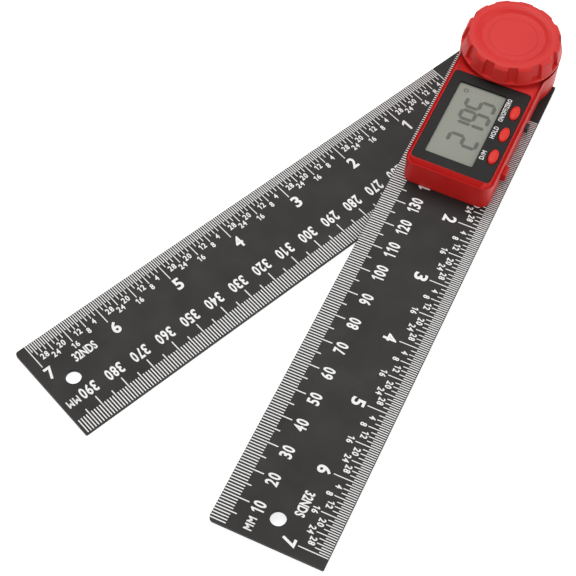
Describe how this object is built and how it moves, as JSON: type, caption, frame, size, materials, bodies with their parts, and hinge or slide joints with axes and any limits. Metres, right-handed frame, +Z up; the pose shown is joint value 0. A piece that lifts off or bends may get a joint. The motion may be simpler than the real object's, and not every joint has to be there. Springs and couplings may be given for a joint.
{
  "type": "digital angle finder ruler",
  "caption": "Digital angle finder: two flat printed rulers on a locking pivot, with a display head, buttons and a finned knob on the upper one.",
  "frame": {"origin": "pivot axis at the underside of the lower ruler", "axes": "+Z up along the pivot axis, -Y along the upper ruler towards its free end, +X towards the battery drawer; the lower ruler is opened 24 degrees from the upper one, towards -X"},
  "size_m": [0.1166, 0.2176, 0.0225],
  "materials": {
    "ruler_black": "satin black composite with white printed marks",
    "housing_red": "semi-gloss red moulding",
    "knob_red": "semi-gloss red moulding",
    "button_red": "satin orange-red silicone",
    "bezel_black": "satin black panel with white labels",
    "window_clear": "clear polished window",
    "display_grey": "grey-green liquid crystal display",
    "board_green": "green circuit board",
    "base_black": "matte black moulding",
    "strip_rubber": "layered contact rubber",
    "ribbon_amber": "amber flat cable film",
    "washer_nylon": "white nylon",
    "brass": "turned brass",
    "steel": "plain steel",
    "cell_steel": "nickel plated"
  },
  "bodies": {
    "lower_arm": {"lower_ruler": "ruler_black", "pivot_hub": "brass", "hub_screw_1": "steel", "hub_screw_2": "steel", "hub_screw_3": "steel", "arm_washer": "washer_nylon", "encoder_rotor": "board_green", "rotor_clip": "steel"},
    "upper_arm": {"upper_ruler": "ruler_black", "housing": "housing_red", "base_plate": "base_black", "housing_screw_1": "steel", "housing_screw_2": "steel", "housing_screw_3": "steel", "housing_screw_4": "steel", "encoder_stator": "board_green", "stator_screw_1": "steel", "stator_screw_2": "steel", "stator_screw_3": "steel", "main_board": "board_green", "board_screw_1": "steel", "board_screw_2": "steel", "board_screw_3": "steel", "link_ribbon": "ribbon_amber", "contact_strip": "strip_rubber", "display_glass": "display_grey", "display_window": "window_clear", "bezel": "bezel_black", "switch_1": "base_black", "switch_2": "base_black", "switch_3": "base_black", "upper_contact": "steel", "lower_contact": "steel", "top_bush": "brass", "clamp_washer": "steel"},
    "knob": {"locking_knob": "knob_red", "knob_insert": "brass", "knob_cap": "knob_red"},
    "unit_button": {"button_unit": "button_red"},
    "hold_button": {"button_hold": "button_red"},
    "power_button": {"button_power_zero": "button_red"},
    "drawer": {"battery_drawer": "housing_red", "coin_cell": "cell_steel", "drawer_catch": "base_black"}
  },
  "joints": [
    {"name": "arm_swing", "type": "hinge", "parent": "lower_arm", "child": "upper_arm", "pos_m": [0, 0, 0.00305], "axis": [0, 0, 1], "continuous": true},
    {"name": "knob_turn", "type": "hinge", "parent": "upper_arm", "child": "knob", "pos_m": [0, 0, 0.019], "axis": [0, 0, 1], "range_deg": [0, 360]},
    {"name": "press_unit", "type": "slide", "parent": "upper_arm", "child": "unit_button", "axis": [0, 0, -1], "range_m": [0, 0.0003], "stiffness_N_per_m": 800},
    {"name": "press_hold", "type": "slide", "parent": "upper_arm", "child": "hold_button", "axis": [0, 0, -1], "range_m": [0, 0.0003], "stiffness_N_per_m": 800},
    {"name": "press_power", "type": "slide", "parent": "upper_arm", "child": "power_button", "axis": [0, 0, -1], "range_m": [0, 0.0003], "stiffness_N_per_m": 800},
    {"name": "drawer_slide", "type": "slide", "parent": "upper_arm", "child": "drawer", "axis": [1, 0, 0], "range_m": [0, 0.024]}
  ]
}
